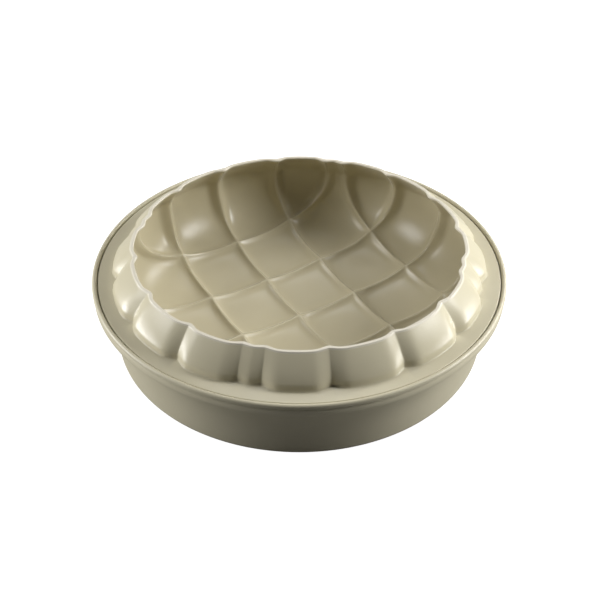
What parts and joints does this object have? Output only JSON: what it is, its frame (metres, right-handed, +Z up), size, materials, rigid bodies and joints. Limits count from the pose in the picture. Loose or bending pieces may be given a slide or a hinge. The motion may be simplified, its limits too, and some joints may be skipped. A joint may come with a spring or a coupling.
{
  "type": "silicone cake mould",
  "caption": "Round quilted silicone cake mould: a lobed cup with a scalloped, inward-leaning collar and a flat flange, hung in a stiff open-bottomed support ring.",
  "frame": {"origin": "middle of the support ring's foot, at table height", "axes": "+Z up out of the cup's mouth; -Y towards the viewer of the picture, +X to the viewer's right"},
  "size_m": [0.25, 0.25, 0.0647],
  "materials": {
    "ring_plastic": "satin warm grey heat-resistant plastic",
    "silicone": "matte satin warm grey silicone"
  },
  "bodies": {
    "ring": {"support_ring": "ring_plastic"},
    "cup": {"mould_cup": "silicone"}
  },
  "joints": [
    {"name": "cup_lift", "type": "slide", "parent": "ring", "child": "cup", "axis": [0, 0, 1], "range_m": [0, 0.05]}
  ]
}
